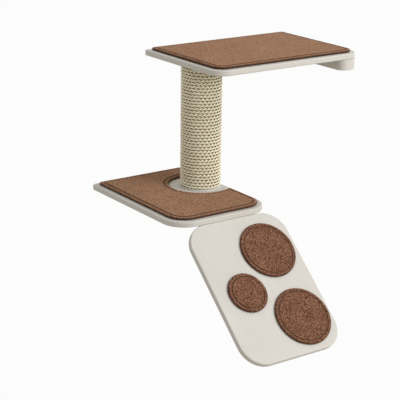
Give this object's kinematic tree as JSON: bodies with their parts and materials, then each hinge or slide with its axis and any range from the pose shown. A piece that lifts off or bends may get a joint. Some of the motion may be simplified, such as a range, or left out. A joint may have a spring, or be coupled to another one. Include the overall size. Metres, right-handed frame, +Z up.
{
  "type": "wall mounted cat tree",
  "caption": "Wall mounted cat tree: two felt-topped boards joined by a rope-wound post, with a sloping ramp carrying round felt pads.",
  "frame": {"origin": "on the wall plane, midway between the two wall screw holes of the upper rail", "axes": "+X to the right along the wall, +Y into the wall, +Z up; the boards and ramp stand out towards -Y"},
  "size_m": [0.6475, 0.7054, 0.6507],
  "materials": {
    "cream_board": "matt cream lacquer over faint grain",
    "rail_timber": "planed softwood and beech",
    "mat_felt": "brown needle felt",
    "pad_felt": "brown looped felt",
    "hook_tape": "hook-and-loop tape",
    "card_tube": "wound cardboard",
    "sisal_rope": "twisted pale sisal",
    "zinc_steel": "bright zinc",
    "coated_bracket": "cream powder coat"
  },
  "bodies": {
    "root": {"upper_board": "cream_board", "lower_board": "cream_board", "ramp_board": "cream_board", "support_arm": "cream_board", "post_base_disc": "cream_board", "upper_wall_rail": "rail_timber", "lower_wall_rail": "rail_timber", "support_arm_dowels": "rail_timber", "post_top_plug": "rail_timber", "post_bottom_plug": "rail_timber", "upper_mat": "mat_felt", "lower_mat": "mat_felt", "ramp_pad_upper": "pad_felt", "ramp_pad_small": "pad_felt", "ramp_pad_lower": "pad_felt", "upper_mat_hook_strips": "hook_tape", "lower_mat_hook_strips": "hook_tape", "ramp_pad_hook_discs": "hook_tape", "post_tube": "card_tube", "post_rope": "sisal_rope", "post_bolts": "zinc_steel", "post_bolt_washers": "zinc_steel", "post_threaded_inserts": "zinc_steel", "rope_end_staples": "zinc_steel", "upper_rail_screws": "zinc_steel", "lower_rail_screws": "zinc_steel", "support_arm_screws": "zinc_steel", "ramp_bracket_screws": "zinc_steel", "ramp_bracket_left": "coated_bracket", "ramp_bracket_right": "coated_bracket"}
  },
  "joints": []
}
